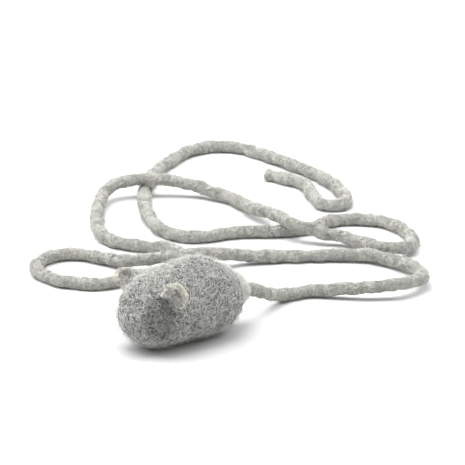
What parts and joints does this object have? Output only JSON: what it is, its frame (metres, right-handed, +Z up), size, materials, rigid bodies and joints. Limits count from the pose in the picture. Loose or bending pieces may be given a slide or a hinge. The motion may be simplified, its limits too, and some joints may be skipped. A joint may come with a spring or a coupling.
{
  "type": "felt mouse toy",
  "caption": "Hand-felted wool toy mouse with cupped felt ears, a nose nub, a pale wool tuft at the rump and a very long rope tail lying in loose loops.",
  "frame": {"origin": "on the floor, under the middle of the mouse's body, at the centre of its flattened belly", "axes": "+Z up, -Y towards the nose and +Y towards the rump along the body, +X towards the mouse's left side"},
  "size_m": [0.2531, 0.2618, 0.0386],
  "materials": {
    "grey_felt": "matte felted wool, marled light and dark grey",
    "beige_felt": "matte felted wool, grey with a beige rim",
    "nose_felt": "matte felted wool",
    "rope_felt": "matte felted wool rope, marled grey",
    "pale_wool": "loose cream wool",
    "core_wool": "loose undyed wool stuffing"
  },
  "bodies": {
    "mouse": {"body_felt": "grey_felt", "wool_core": "core_wool", "nose_nub": "nose_felt", "tail_knot": "rope_felt", "tail_tuft": "pale_wool", "tail_rope": "rope_felt"},
    "left_ear": {"ear_left": "beige_felt"},
    "right_ear": {"ear_right": "beige_felt"}
  },
  "joints": [
    {"name": "left_ear_flex", "type": "hinge", "parent": "mouse", "child": "left_ear", "pos_m": [0.01577, -0.0186, 0.02808], "axis": [0.5346, 0.6677, -0.518], "range_deg": [-15, 25], "stiffness_Nm_per_rad": 0.002},
    {"name": "right_ear_flex", "type": "hinge", "parent": "mouse", "child": "right_ear", "pos_m": [-0.01577, -0.0186, 0.02808], "axis": [0.2363, -0.9613, -0.142], "range_deg": [-15, 25], "stiffness_Nm_per_rad": 0.002}
  ]
}
